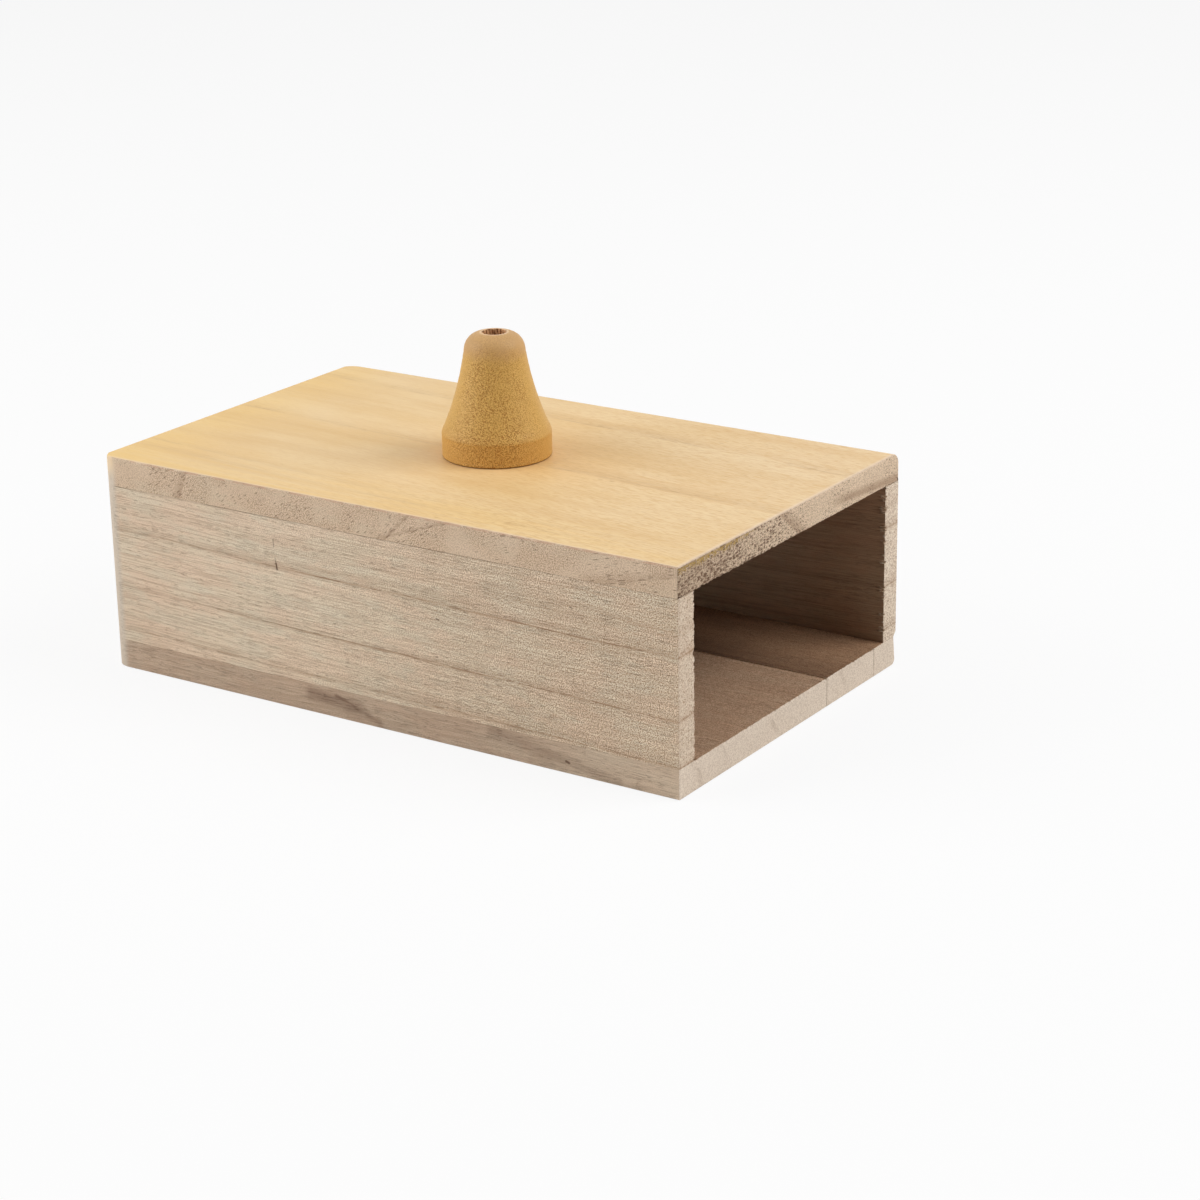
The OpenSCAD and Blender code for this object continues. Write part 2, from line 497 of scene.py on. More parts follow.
def peg_mesh():
    """The peg as a closed skin over its rings."""
    mesh = bpy.data.meshes.new("turned_peg")
    shape = bmesh.new()
    vertices = [[shape.verts.new(p * MM) for p in ring] for ring in peg_rings()]
    for low, high in zip(vertices, vertices[1:]):
        for k in range(PEG_SEGMENTS):
            after = (k + 1) % PEG_SEGMENTS
            shape.faces.new((low[k], low[after], high[after], high[k])).smooth = True
    shape.faces.new(reversed(vertices[0]))
    shape.faces.new(vertices[-1])
    shape.to_mesh(mesh)
    shape.free()
    mesh.set_sharp_from_angle(angle=SHARP_ANGLE)
    return mesh


# Materials as formulas

def paint(red, green, blue):
    """A colour as it is seen, from 0 to 255, in the linear numbers that a shader takes."""
    shares = [c / 255 for c in (red, green, blue)]
    linear = [s / 12.92 if s <= 0.04045 else ((s + 0.055) / 1.055) ** 2.4 for s in shares]
    return (*linear, 1.0)


class Graph:
    """A tree of shader nodes, where each call adds one node and returns its output."""

    def __init__(self, tree):
        self.tree = tree

    def node(self, kind, inputs, output=0, **settings):
        made = self.tree.nodes.new(kind)
        for name, value in settings.items():
            setattr(made, name, value)
        for name, value in inputs.items():
            if isinstance(value, bpy.types.NodeSocket):
                self.tree.links.new(value, made.inputs[name])
            else:
                made.inputs[name].default_value = value
        return made.outputs[output]

    def math(self, operation, a, b=0.0, clamp=False):
        return self.node("ShaderNodeMath", {0: a, 1: b}, operation=operation, use_clamp=clamp)

    def times(self, first, *others):
        for other in others:
            first = self.math("MULTIPLY", first, other)
        return first

    def plus(self, a, b):
        return self.math("ADD", a, b)

    def minus(self, a, b):
        return self.math("SUBTRACT", a, b)

    def most(self, a, b):
        return self.math("MAXIMUM", a, b)

    def less(self, value, share=1.0):
        """1 less a share of a value."""
        return self.minus(1.0, self.times(value, share))

    def surface(self, shader):
        end = self.tree.nodes.new("ShaderNodeOutputMaterial")
        self.tree.links.new(shader, end.inputs["Surface"])


class Wood(Graph):
    """A wood's nodes. Its place is in millimetres, and facing is its normal."""

    def __init__(self, name):
        self.material = bpy.data.materials.new(name)
        self.material.use_nodes = True
        super().__init__(self.material.node_tree)
        self.tree.nodes.clear()
        spot = self.tree.nodes.new("ShaderNodeTexCoord")
        self.place = self.scaled(spot.outputs["Object"], 1 / MM)
        self.x, self.y, self.z = self.split(self.place)
        self.facing = self.split(spot.outputs["Normal"])

    def vector(self, operation, *values):
        output = "Value" if operation in ("DOT_PRODUCT", "LENGTH") else "Vector"
        return self.node("ShaderNodeVectorMath", dict(enumerate(values)), output, operation=operation)

    def scaled(self, vector, factor):
        return self.node("ShaderNodeVectorMath", {0: vector, "Scale": factor}, operation="SCALE")

    def split(self, vector):
        parts = self.tree.nodes.new("ShaderNodeSeparateXYZ")
        self.tree.links.new(vector, parts.inputs[0])
        return parts.outputs

    def step(self, value, low, high, start=0.0, end=1.0):
        """A smooth step from start, where the value is low, to end, where it is high."""
        inputs = {0: value, 1: low, 2: high, 3: start, 4: end}
        return self.node("ShaderNodeMapRange", inputs, interpolation_type="SMOOTHSTEP")

    def mix(self, share, a, b):
        return self.node("ShaderNodeMix", {0: share, 6: a, 7: b}, 2, data_type="RGBA")

    def coats(self, colour, *coats):
        """A colour under coats of paint, each with the share of it that shows."""
        for share, coat in coats:
            colour = self.mix(share, colour, coat)
        return colour

    def blend(self, share, a, b):
        """Plain numbers mixed by a share."""
        return self.node("ShaderNodeMix", {0: share, 2: a, 3: b}, 0)

    def tint(self, share, colour, filter_colour):
        inputs = {0: share, 6: colour, 7: filter_colour}
        return self.node("ShaderNodeMix", inputs, 2, data_type="RGBA", blend_type="MULTIPLY")

    def noise(self, vector, detail=2.0, roughness=0.5, output=0):
        inputs = {"Vector": vector, "Scale": 1.0, "Detail": detail, "Roughness": roughness}
        return self.node("ShaderNodeTexNoise", inputs, output)

    def clouds(self, scale, detail=2.0, roughness=0.5):
        """Noise that is the same in every direction. Scale is in spots to a millimetre."""
        return self.noise(self.scaled(self.place, scale), detail, roughness)

    def drift(self, vector, detail):
        """Noise in three directions at once, from -0.5 to 0.5."""
        return self.vector("SUBTRACT", self.noise(vector, detail, output=1), (0.5, 0.5, 0.5))

    def turned(self, vector, angles, shift=(0, 0, 0)):
        inputs = {"Vector": vector, "Rotation": angles, "Location": shift}
        return self.node("ShaderNodeMapping", inputs)

    def stretched(self, vector, along, across):
        """The vector in units that are long beside the fibres and short across them."""
        return self.vector("MULTIPLY", vector, (1 / along, 1 / across, 1 / across))

    def shade(self, colour, roughness, height, depth, specular):
        """Joins the finished colour, roughness and height in one shader."""
        bump = self.node("ShaderNodeBump", {"Height": height, "Distance": depth * MM}, "Normal")
        inputs = {"Base Color": colour, "Roughness": roughness, "Normal": bump}
        inputs["Specular IOR Level"] = specular
        self.surface(self.node("ShaderNodeBsdfPrincipled", inputs))
        return self.material


# Grain of the wood

# A growth ring is where a plane cuts the board, with the widths of its sharp and of its soft side
Streak = namedtuple("Streak", "normal offset sharp soft strength")
LEVEL = (0, 0, 1)
Mark = namedtuple("Mark", "start end width strength")
Palette = namedtuple("Palette", "light warm grey fibre streak pore end")

# Specks of grit in a millimetre of bare wood
GRIT = 3.8

# Depth of the relief in millimetres, and how much light the surface mirrors
BARE_RELIEF = 0.1
PEG_RELIEF = 0.06
BARE_GLOSS = 0.25
STAIN_GLOSS = 0.3
PEG_GLOSS = 0.35


def grain_space(wood, angles, shift=0, wander=2.5):
    """Board coordinates with x along the fibres, which drift slowly from side to side. The shift along
    them gives each board grain of its own."""
    straight = wood.turned(wood.place, angles, (shift, 0, 0))
    drift = wood.drift(wood.stretched(straight, 70, 26), 1)
    return wood.vector("MULTIPLY_ADD", drift, (0, wander * 2, wander * 2), straight)


def lines(wood, grain, along, across, detail=3):
    """Soft lines beside the fibres, from 0 to 1."""
    return wood.noise(wood.stretched(grain, along, across), detail, 0.55)


def pores(wood, grain, along, across, size, space="3D"):
    """Vessels cut open: dashes on a long face and dots on an end. Size is a share of their spacing."""
    inputs = {"Vector": wood.stretched(grain, along, across), "Scale": 1}
    distance = wood.node("ShaderNodeTexVoronoi", inputs, "Distance", voronoi_dimensions=space)
    pick = wood.split(distance.node.outputs["Color"])[0]
    inside = wood.minus(wood.times(pick, size), distance)
    return wood.math("MULTIPLY", inside, 6, clamp=True)


def streak_mask(wood, space, streaks):
    """Dark growth rings, each sharp on one side and fading out on the other."""
    total = 0
    for streak in streaks:
        level = wood.vector("DOT_PRODUCT", space, streak.normal)
        distance = wood.minus(level, streak.offset)
        rise = wood.step(distance, -streak.sharp, 0)
        fall = wood.step(distance, 0, streak.soft, streak.strength, 0)
        total = wood.most(total, wood.times(rise, fall))
    return total


def mark_mask(wood, place, marks, core=0.3):
    """Nicks and smudges on a long side: each is a short line in x and z, full over a core of its width."""
    flat = wood.vector("MULTIPLY", place, (1, 0, 1))
    total = 0
    for mark in marks:
        start = Vector((mark.start[0], 0, mark.start[1]))
        run = Vector((mark.end[0], 0, mark.end[1])) - start
        offset = wood.vector("SUBTRACT", flat, start)
        along = wood.vector("DOT_PRODUCT", offset, run / run.length_squared)
        share = wood.math("ADD", along, 0, clamp=True)
        gap = wood.vector("LENGTH", wood.vector("SUBTRACT", offset, wood.scaled(run, share)))
        shown = wood.step(gap, mark.width, mark.width * core, 0, mark.strength)
        total = wood.most(total, shown)
    return total


def faces(wood, axis, low, high):
    """1 where a face's normal reaches from low to high along an axis."""
    return wood.step(wood.facing[axis], low, high)


def wood_ground(wood, grain, palette):
    """The board's pale ground, with warm and grey patches along the fibres."""
    blush = wood.noise(wood.stretched(grain, 14, 4), 2)
    colour = wood.mix(wood.step(blush, 0.38, 0.62), palette.light, palette.warm)
    elsewhere = wood.vector("ADD", grain, (90, 40, 15))
    dull = wood.noise(wood.stretched(elsewhere, 11, 3.5), 3, 0.6)
    return wood.mix(wood.step(dull, 0.45, 0.65, 0, 0.7), colour, palette.grey)


def fibre_lines(wood, grain, rings, crisp):
    """Fibres on a long face: soft lines, short sharp ones and long hairs, which crowd in the rings."""
    dense = wood.times(rings, 0.08)
    bundle = wood.times(rings, 0.14)
    soft = wood.step(wood.plus(lines(wood, grain, 16, 0.5, 1), dense), 0.46, 0.72, 0, 0.1)
    sharp = wood.step(wood.plus(lines(wood, grain, 8, 0.17, 0), dense), 0.54, 0.68, 0, 0.32)
    hairs = wood.step(wood.plus(lines(wood, grain, 32, 0.15, 0), bundle), 0.55, 0.69, 0, 0.4)
    return wood.most(soft, wood.most(wood.times(sharp, crisp), hairs))


def vessel_dashes(wood, grain, rings):
    """Vessels cut open on a long face, short and long, which are larger in the rings."""
    crowd = wood.step(wood.noise(wood.stretched(grain, 40, 5), 1), 0.35, 0.65, 0.36, 0.5)
    size = wood.plus(crowd, wood.times(rings, 0.25))
    short = pores(wood, grain, 2.6, 0.25, size)
    longer = pores(wood, wood.vector("ADD", grain, (33, 7, 5)), 7, 0.28, size)
    return wood.most(short, longer)


def bare_wood(wood, grain, rings, ends, palette, still=0, speckle=0.4, sawn=0.6, crisp=1):
    """Unfinished wood: its colour and its height. Fibres are cut across where ends is 1, and hidden
    where still is. Grit has the strength of speckle on long faces, and of sawn on ends."""
    rings = wood.times(rings, wood.less(ends, 0.6))
    broken = wood.step(lines(wood, grain, 14, 0.4), 0.36, 0.6, 0.25, 0.75)
    lengthwise = wood.less(wood.most(ends, still))
    fibres = wood.times(fibre_lines(wood, grain, rings, crisp), lengthwise)
    specks = wood.vector("ADD", wood.scaled(wood.place, GRIT), (0.12, 0, 0))
    grit = wood.step(wood.noise(specks, 1), 0.42, 0.6)
    uneven = wood.step(wood.clouds(0.15), 0.4, 0.6, 0.55, 1)
    gritty = wood.blend(lengthwise, wood.blend(ends, uneven, sawn), speckle)
    vessels = wood.times(vessel_dashes(wood, grain, rings), lengthwise)
    colour = wood.coats(
        wood_ground(wood, grain, palette),
        (wood.times(ends, 0.85), palette.end),
        (wood.times(rings, broken), palette.streak),
        (fibres, palette.fibre),
        (wood.times(grit, gritty), palette.fibre),
        (wood.times(vessels, crisp, wood.blend(rings, 0.14, 0.55)), palette.pore))
    return colour, wood.less(wood.most(vessels, fibres))


def bare_roughness(wood, height):
    """Bare wood is dull, and dullest in its pores."""
    return wood.step(height, 0, 1, 0.88, 0.7)


# Bare boards

WALL = Palette(
    light=paint(247, 230, 203), warm=paint(250, 227, 200), grey=paint(243, 232, 207),
    fibre=paint(182, 150, 121), streak=paint(166, 128, 96), pore=paint(144, 104, 72),
    end=paint(226, 208, 187))
FLOOR = Palette(
    light=paint(215, 190, 165), warm=paint(211, 184, 159), grey=paint(211, 190, 166),
    fibre=paint(168, 140, 116), streak=paint(132, 102, 82), pore=paint(122, 94, 74),
    end=paint(241, 226, 208))
EDGE = Palette(
    light=paint(232, 207, 179), warm=paint(228, 202, 173), grey=paint(226, 206, 178),
    fibre=paint(186, 156, 128), streak=paint(156, 122, 94), pore=paint(134, 102, 76),
    end=paint(239, 214, 184))
REAR = WALL._replace(end=paint(241, 225, 205))
FOOT_STREAK = paint(116, 88, 70)
CLOSED_BLUSH = paint(240, 232, 228)
# Painted shade of the chamber, on the walls' inner faces and on the top board's underside
INNER_SHADE = paint(170, 147, 131)
# Floor strips' upper faces in the chamber: their own darker tone, with painted shade of the chamber
INNER_FLOOR_TONE_AND_SHADE = paint(251, 239, 229)
INNER_STRIP_TONE_AND_SHADE = paint(227, 207, 189)
INNER_MIDDLE_TONE_AND_SHADE = paint(221, 201, 183)
INNER_END = paint(255, 247, 238)
GLUE_SHADE = paint(128, 100, 78)
SEAM_SHADE = paint(104, 82, 71)
# Painted highlight on the rounded corner at the closed end
CORNER_HIGHLIGHT = paint(216, 200, 181)
ARRIS_PALE = paint(234, 209, 184)
NICK = paint(92, 62, 44)

WALL_RINGS = (
    Streak(LEVEL, 31, 0.25, 0.6, 1),
    Streak(LEVEL, 31, 1, 3, 0.36),
    Streak(LEVEL, 36, 1.5, 3, 0.2),
    Streak(LEVEL, 17.8, 0.25, 0.5, 0.9),
    Streak(LEVEL, 17.8, 0.8, 2.2, 0.34),
    Streak(LEVEL, 8, 0.25, 0.5, 0.8),
    Streak(LEVEL, 8, 0.8, 2.5, 0.25),
)
FRONT_MARKS = (
    Mark((-26.4, 37.2), (-26.3, 35.6), 0.16, 0.5),
    Mark((-26.1, 33.2), (-25.9, 32), 0.16, 0.5),
    Mark((-25.9, 32), (-25.7, 30.7), 0.26, 0.9),
    Mark((15.8, 27.3), (16.4, 27.2), 0.24, 0.7),
    Mark((48.8, 35.9), (49.2, 35.8), 0.22, 0.6),
)
FOOT_MARKS = (Mark((47.2, 2.6), (47.9, 2.4), 0.4, 0.8),)
END_WALL_RINGS = (
    Streak(LEVEL, 24, 0.5, 3, 0.7),
    Streak(LEVEL, 12, 0.4, 2, 0.5),
)


def cut_ends(wood, axis=0):
    """1 on a board's two ends, where the saw went across its fibres."""
    return wood.step(wood.math("ABSOLUTE", wood.facing[axis]), 0.5, 0.8)


def eased_arris(wood):
    """1 along the rubbed upper edges of the open end."""
    leaning = wood.times(wood.facing[0], wood.facing[2])
    return wood.step(leaning, 0.2, 0.4, 0, 0.8)


def painted_corner_highlight(wood):
    """1 on the rounded corner at the closed end, where a painted highlight stands for the bright light it
    catches.
    """
    return wood.times(faces(wood, 0, -0.03, -0.12), faces(wood, 0, -0.95, -0.75))


def sawn_dots(wood, rings):
    """Vessels cut across on a wall's end, which crowd in its rings."""
    cut = wood.node("ShaderNodeCombineXYZ", {0: wood.y, 1: wood.z})
    size = wood.plus(wood.times(rings, 0.3), 0.48)
    return pores(wood, cut, 0.6, 0.6, size, "2D")


def wall_material(name, palette, slope, shift, inner_sign, marks=()):
    """A long wall, coarser towards the open end. Its inner face looks along y with the inner sign, and
    carries painted shade of the chamber towards the open end.
    """
    wood = Wood(name)
    grain = grain_space(wood, (0, slope, 0), shift, wander=0.8)
    ends = cut_ends(wood)
    inner = faces(wood, 1, 0.5 * inner_sign, 0.8 * inner_sign)
    speckle = wood.blend(inner, wood.step(wood.x, -70, 70, 0.25, 1), 0.15)
    fading = wood.step(wood.x, -75, 0, 0.65, 1)
    ringed = wood.times(streak_mask(wood, grain, WALL_RINGS), wood.less(inner, 0.6), fading)
    crisp = wood.step(wood.x, -75, 20, 0.35, 0.9)
    colour, height = bare_wood(wood, grain, ringed, ends, palette, speckle=speckle, crisp=crisp)
    colour = wood.coats(
        colour,
        (wood.times(ringed, ends, 0.55), palette.streak),
        (wood.times(sawn_dots(wood, ringed), ends, 0.5), palette.pore))
    colour = wood.tint(wood.step(wood.x, -10, -72, 0, 0.6), colour, CLOSED_BLUSH)
    # painted shade on the inner face, full towards the open end
    colour = wood.tint(wood.times(inner, wood.step(wood.x, 8, 66)), colour, INNER_SHADE)
    joint = wood.step(wood.z, WALL_TOP - 0.3, WALL_TOP - 0.1)
    patchy = wood.step(lines(wood, grain, 18, 6), 0.35, 0.6, 0.2, 0.7)
    glued = wood.times(patchy, wood.step(wood.x, 50, -10, 0.4, 1))
    nicks = mark_mask(wood, wood.place, marks)
    colour = wood.coats(
        colour,
        (wood.times(joint, glued), GLUE_SHADE),
        # painted highlight on the rounded corner at the closed end
        (painted_corner_highlight(wood), CORNER_HIGHLIGHT),
        (nicks, NICK))
    relief = wood.minus(height, nicks)
    return wood.shade(colour, bare_roughness(wood, height), relief, BARE_RELIEF, BARE_GLOSS)


def end_wall_material():
    """The closed end's fibres run across the box."""
    wood = Wood("end_wall_wood")
    grain = grain_space(wood, (0, 0, math.pi / 2), shift=300)
    ends = cut_ends(wood, 1)
    rings = streak_mask(wood, grain, END_WALL_RINGS)
    colour, height = bare_wood(wood, grain, rings, ends, WALL)
    colour = wood.tint(faces(wood, 0, 0.5, 0.8), colour, INNER_END)
    return wood.shade(colour, bare_roughness(wood, height), height, BARE_RELIEF, BARE_GLOSS)


FOOT_SMUDGES = (
    Mark((-18, 4.4), (-5, 3), 2.6, 0.5),
    Mark((-11.4, 4.9), (-5.7, 3.1), 1, 0.8),
    Mark((-5.7, 3), (0, 1.2), 1.7, 0.4),
    Mark((29, 5.6), (47, 2.4), 2.4, 0.3),
    Mark((47, 2.4), (60, 0.8), 1.5, 0.25),
)
FLOOR_END_RINGS = (
    Streak((0, 1, 0.6), -35, 3, 0.5, 0.8),
    Streak((0, 1, 0.5), -24.8, 2, 0.4, 0.5),
    Streak((0, 1, 0.8), -4.8, 2.5, 0.4, 0.7),
    Streak((0, 1, 0.6), 24, 2, 0.4, 0.4),
)


def floor_glue_lines(wood):
    """1 along the floor's two seams."""
    total = 0
    for seam in (FRONT_SEAM, REAR_SEAM):
        gap = wood.math("ABSOLUTE", wood.minus(wood.y, seam))
        total = wood.most(total, wood.step(gap, 0.35, 0.12))
    return total


def foot_smudges(wood):
    """Brown smudges on the floor's front edge, in ragged outlines."""
    ragged = wood.noise(wood.stretched(wood.place, 4.5, 1.2), 3, output=1)
    lowered = wood.vector("SUBTRACT", wood.place, (0, 0, 1.2))
    bent = wood.vector("MULTIPLY_ADD", ragged, (0, 0, 2.4), lowered)
    return mark_mask(wood, bent, FOOT_SMUDGES, -0.2)


def seam_shade(wood, inner):
    """The shade behind the front seam of the chamber's floor, which is deeper far inside."""
    behind = wood.minus(wood.y, FRONT_SEAM)
    near_seam = wood.most(wood.step(behind, 2.6, 1), wood.step(behind, 13, 2, 0, 0.74))
    seam = wood.times(wood.step(behind, -1.2, 0.2), near_seam)
    return wood.times(seam, inner, wood.step(wood.x, 74, 20, 0.45, 0.9))


def floor_material(name, chamber_tone_and_shade, shift):
    """A strip of the floor, smudged on its front edge, and darker in the chamber by its own tone and by
    painted shade, deepest behind the front seam.
    """
    wood = Wood(name)
    grain = grain_space(wood, (0, 0, 0), shift, wander=1.5)
    ends = cut_ends(wood)
    front = faces(wood, 1, -0.5, -0.8)
    inner = faces(wood, 2, 0.5, 0.8)
    smudges = wood.times(foot_smudges(wood), front)
    wobble = wood.drift(wood.scaled(wood.place, 0.6), 2)
    wavering = wood.vector("MULTIPLY_ADD", wobble, (0, 2.4, 0), grain)
    fading = wood.step(wood.clouds(0.4, 1), 0.35, 0.6, 0.3, 1)
    end_rings = wood.times(streak_mask(wood, wavering, FLOOR_END_RINGS), ends, fading)
    rings = wood.most(smudges, end_rings)
    speckle = wood.blend(inner, 0.4, 0.85)
    colour, height = bare_wood(wood, grain, rings, ends, FLOOR, speckle=speckle, sawn=0.38)
    colour = wood.coats(
        colour,
        (wood.times(end_rings, 0.25), FLOOR.fibre),
        (wood.times(floor_glue_lines(wood), ends, fading, 0.25), FLOOR.pore),
        (wood.times(front, wood.step(wood.x, 25, 62, 0, 0.22)), WALL.light),
        (smudges, FOOT_STREAK),
        # painted highlight on the rounded corner at the closed end
        (painted_corner_highlight(wood), CORNER_HIGHLIGHT))
    # the upper face in the chamber: its own darker tone with painted shade
    colour = wood.tint(inner, colour, chamber_tone_and_shade)
    colour = wood.tint(seam_shade(wood, inner), colour, SEAM_SHADE)
    specks = wood.times(mark_mask(wood, wood.place, FOOT_MARKS), front)
    colour = wood.mix(specks, colour, NICK)
    relief = wood.minus(height, specks)
    return wood.shade(colour, bare_roughness(wood, height), relief, BARE_RELIEF, BARE_GLOSS)


# Top board

TOP_SLOPE = 0.061
RING_TILT = 1.3
STAIN_LIGHT = paint(243, 213, 164)
STAIN_DEEP = paint(237, 202, 146)
STAIN_PALE = paint(244, 218, 180)
STAIN_GOLD = paint(246, 208, 134)
STAIN_LINE = paint(222, 180, 120)
STAIN_STREAK = paint(205, 168, 122)
STAIN_PORE = paint(190, 146, 92)
STAIN_BLEED = paint(178, 144, 72)
# Painted shadow and painted warm reflection of the peg, on the top beside its foot
PEG_SHADOW_AND_REFLECTION = paint(238, 196, 132)
STAIN_RUBBED = paint(246, 222, 196)
ARRIS_LINE = paint(206, 164, 136)
CORNER_DARK = paint(140, 110, 84)
END_PORE = paint(92, 60, 36)


def top_ring(across, band, strength):
    """A growth ring across the top, which leans over below: a thin line, and a soft band behind it."""
    normal = (0, 1, RING_TILT)
    offset = across + RING_TILT * BOX_HEIGHT
    line = Streak(normal, offset, 0.3, 0.8, strength)
    return line, Streak(normal, offset + 0.2, 1.5, band, strength * 0.6)


TOP_RINGS = (
    *top_ring(-1.6, 5, 1),
    *top_ring(-33.5, 2, 0.5),
    *top_ring(-37.5, 2, 0.5),
    *top_ring(28.5, 5, 0.9),
)
END_RINGS = (Streak((0, 0.07, 1), 45.8, 1.2, 2, 0.9),)
EDGE_RINGS = (
    Streak((-0.95, 0, 1), 39.2, 0.5, 1.5, 0.8),
    Streak((-0.35, 0, 1), 41.6, 0.3, 0.9, 0.6),
    Streak((-1, 0, 0.417), 69.6, 0.5, 2.8, 0.8),
    Streak((-0.25, 0, 1), 28, 0.4, 2.5, 0.5),
)


def edge_dashes(wood, rings):
    """Short vessels along the front edge, which slant less towards the open end and crowd in the rings."""
    steep = wood.turned(wood.place, (0, math.radians(36), 0))
    level = wood.turned(wood.place, (0, math.radians(13), 0))
    change = wood.step(wood.x, 14, 22)
    crowd = wood.step(wood.clouds(0.12), 0.35, 0.6, 0.2, 0.44)
    crowd = wood.plus(crowd, wood.times(rings, 0.25))
    short = pores(wood, steep, 1.6, 0.32, crowd)
    longer = pores(wood, level, 2.4, 0.28, crowd)
    return wood.blend(change, short, longer)


def stain_ground(wood, grain):
    """The honey stain, which is golden towards the front and the left, and pale at the far right, with a
    painted shadow and a painted warm reflection of the peg beside its foot.
    """
    clouds = wood.noise(wood.stretched(grain, 40, 16), 2)
    near_front = wood.step(wood.y, -24, -44, 0, 0.55)
    bands = wood.step(lines(wood, grain, 120, 2.2, 2), 0.35, 0.65, 0.2, 1)
    beside = wood.vector("MULTIPLY", wood.vector("SUBTRACT", wood.place, (6, 3, 0)), (1, 1.4, 0))
    rightward = wood.step(wood.x, 0, 70, 0, 0.6)
    return wood.coats(
        STAIN_LIGHT,
        (wood.step(clouds, 0.35, 0.65), STAIN_DEEP),
        (wood.times(near_front, bands), STAIN_GOLD),
        (wood.step(wood.x, -52, -72, 0, 0.5), STAIN_GOLD),
        # painted shadow and warm reflection of the peg round its foot
        (wood.step(wood.vector("LENGTH", beside), 36, 12, 0, 0.8), PEG_SHADOW_AND_REFLECTION),
        (wood.times(rightward, wood.step(wood.y, -30, 30, 0.4, 1)), STAIN_PALE))


def stain_colour(wood, grain, rings):
    """The top face with the grain showing through its stain: its colour, and its open vessels."""
    figure = wood.step(lines(wood, grain, 90, 5.5), 0.42, 0.68, 0, 0.32)
    fine = wood.step(wood.noise(wood.stretched(grain, 2.5, 0.26), 1), 0.46, 0.62)
    fading = wood.step(wood.noise(wood.stretched(grain, 22, 9), 1), 0.36, 0.6, 0.2, 1)
    broken = wood.times(wood.step(lines(wood, grain, 7, 0.5), 0.4, 0.6, 0.3, 1), fading)
    crowd = wood.plus(wood.step(wood.x, -30, 45, 0.2, 0.32), wood.times(rings, fading, 0.25))
    vessels = pores(wood, grain, 3, 0.36, crowd)
    colour = wood.coats(
        stain_ground(wood, grain),
        (figure, STAIN_LINE),
        (wood.times(fine, wood.step(wood.x, -60, 40, 0.15, 0.55)), STAIN_LINE),
        (wood.times(rings, broken, 0.7), STAIN_STREAK),
        (wood.times(vessels, 0.45), STAIN_PORE))
    return colour, vessels


def end_texture(wood):
    """The sawn end's open pores, and its darkening towards the near corner."""
    ragged = wood.times(wood.clouds(0.5, 3, 0.6), 16)
    across = wood.minus(wood.plus(wood.y, ragged), 8)
    dark = wood.step(across, -2, -42)
    cut = wood.node("ShaderNodeCombineXYZ", {0: wood.y, 1: wood.z})
    near = wood.step(across, 26, -34)
    zones = wood.step(wood.clouds(0.16), 0.35, 0.65, -0.1, 0.1)
    size = wood.plus(wood.blend(near, 0.27, 0.7), zones)
    coarse = pores(wood, cut, 1.2, 0.58, wood.minus(size, 0.08), "2D")
    fine = pores(wood, cut, 0.8, 0.4, size, "2D")
    dust = wood.step(wood.noise(wood.stretched(cut, 0.6, 0.3), 1), 0.44, 0.62)
    dust = wood.times(dust, wood.blend(near, 0.14, 0.45))
    return wood.most(wood.most(coarse, wood.times(fine, 0.75)), dust), dark


def top_bare_wood(wood, grain, rings, ends):
    """The top board's bare edges, sawn end and underside, which carries painted shade of the chamber:
    colour, height, and the pits of its pores.
    """
    front = faces(wood, 1, -0.5, -0.8)
    edge_rings = wood.times(streak_mask(wood, wood.place, EDGE_RINGS), front)
    near_rings = wood.times(rings, wood.step(wood.y, 16, 6))
    far_rings = wood.times(streak_mask(wood, wood.place, END_RINGS), wood.step(wood.y, 12, 24))
    end_rings = wood.times(wood.most(near_rings, far_rings), ends)
    bare, height = bare_wood(wood, grain, wood.most(edge_rings, end_rings), ends, EDGE, still=front)
    dashes = wood.times(edge_dashes(wood, edge_rings), front)
    open_pores, dark = end_texture(wood)
    bare = wood.coats(
        bare,
        (wood.times(dashes, 0.55), EDGE.pore),
        (wood.times(end_rings, 0.6), EDGE.streak),
        (wood.times(dark, ends, 0.33), CORNER_DARK),
        (wood.times(open_pores, ends, 0.85), END_PORE),
        (eased_arris(wood), ARRIS_PALE),
        # painted highlight on the rounded corner at the closed end
        (painted_corner_highlight(wood), CORNER_HIGHLIGHT))
    # painted shade on the underside, which is the chamber's ceiling
    bare = wood.tint(faces(wood, 2, -0.5, -0.8), bare, INNER_SHADE)
    front_arris = wood.times(faces(wood, 1, -0.2, -0.5), faces(wood, 2, 0.1, 0.4))
    worn = wood.times(front_arris, wood.step(lines(wood, grain, 3, 1), 0.4, 0.6), 0.7)
    bare = wood.mix(worn, bare, ARRIS_LINE)
    return bare, height, wood.most(dashes, wood.times(open_pores, ends))


def stain_bleed(wood, depth, ends):
    """Stain that ran a little way down the sawn end, mostly near the front."""
    reach = wood.step(wood.clouds(1.6, 2, 0.7), 0.3, 0.7, 0.4, 2)
    reach = wood.times(reach, wood.step(wood.y, -12, -26, 0.1, 1))
    below_arris = wood.step(depth, 0.2, 0.6)
    return wood.times(wood.step(wood.minus(depth, reach), 0.2, -0.3), below_arris, ends, 0.8)


